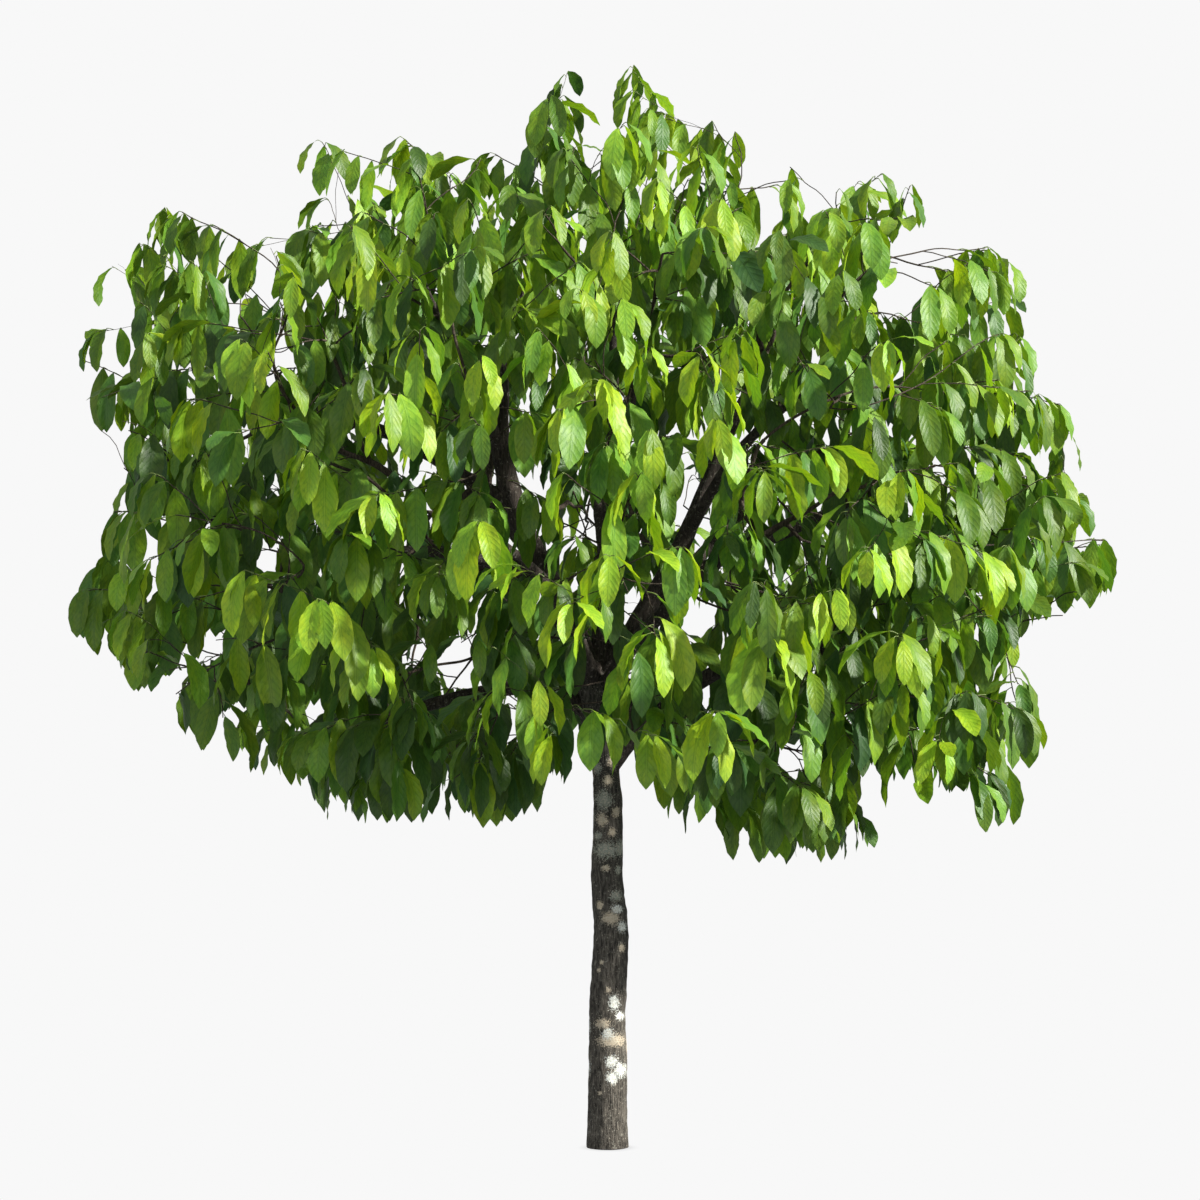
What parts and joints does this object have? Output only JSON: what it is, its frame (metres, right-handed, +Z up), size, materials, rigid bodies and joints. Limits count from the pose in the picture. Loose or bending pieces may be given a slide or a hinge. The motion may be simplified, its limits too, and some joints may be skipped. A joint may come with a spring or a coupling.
{
  "type": "cacao tree",
  "caption": "Small broadleaf cacao tree with a straight lichened trunk, bowl-like boughs and a wide domed crown of large drooping leaves.",
  "frame": {"origin": "middle of the flat cut under the trunk, at ground level", "axes": "+Z up along the trunk, +X to the right and -Y to the front as the tree is seen in the picture"},
  "size_m": [4.8644, 4.8117, 5.0104],
  "materials": {
    "bark_trunk": "rough grey-brown bark with pale and grey-green lichen",
    "bark_bough": "rough dark brown bark",
    "foliage": "semi-gloss green leaves with raised veins"
  },
  "bodies": {
    "root": {"bough_back": "bark_bough", "bough_back_left": "bark_bough", "bough_back_right": "bark_bough", "bough_centre": "bark_bough", "bough_front": "bark_bough", "bough_front_left": "bark_bough", "bough_front_right": "bark_bough", "bough_left": "bark_bough", "bough_left_front": "bark_bough", "bough_left_low": "bark_bough", "bough_left_middle": "bark_bough", "bough_left_outer": "bark_bough", "bough_right": "bark_bough", "bough_right_front": "bark_bough", "bough_right_low": "bark_bough", "bough_right_outer": "bark_bough", "leaves_crest": "foliage", "leaves_high_1": "foliage", "leaves_high_2": "foliage", "leaves_high_3": "foliage", "leaves_high_4": "foliage", "leaves_high_5": "foliage", "leaves_high_6": "foliage", "leaves_high_7": "foliage", "leaves_high_8": "foliage", "leaves_low_1": "foliage", "leaves_low_2": "foliage", "leaves_low_3": "foliage", "leaves_low_4": "foliage", "leaves_low_5": "foliage", "leaves_low_6": "foliage", "leaves_low_7": "foliage", "leaves_low_8": "foliage", "leaves_low_9": "foliage", "leaves_middle_1": "foliage", "leaves_middle_2": "foliage", "leaves_middle_3": "foliage", "leaves_middle_4": "foliage", "leaves_middle_5": "foliage", "leaves_middle_6": "foliage", "leaves_middle_7": "foliage", "leaves_middle_8": "foliage", "leaves_middle_9": "foliage", "leaves_skirt_1": "foliage", "leaves_skirt_2": "foliage", "leaves_skirt_3": "foliage", "leaves_skirt_4": "foliage", "leaves_skirt_5": "foliage", "leaves_skirt_6": "foliage", "leaves_skirt_7": "foliage", "leaves_top_1": "foliage", "leaves_top_2": "foliage", "leaves_top_3": "foliage", "leaves_top_4": "foliage", "leaves_top_5": "foliage", "trunk": "bark_trunk"}
  },
  "joints": []
}
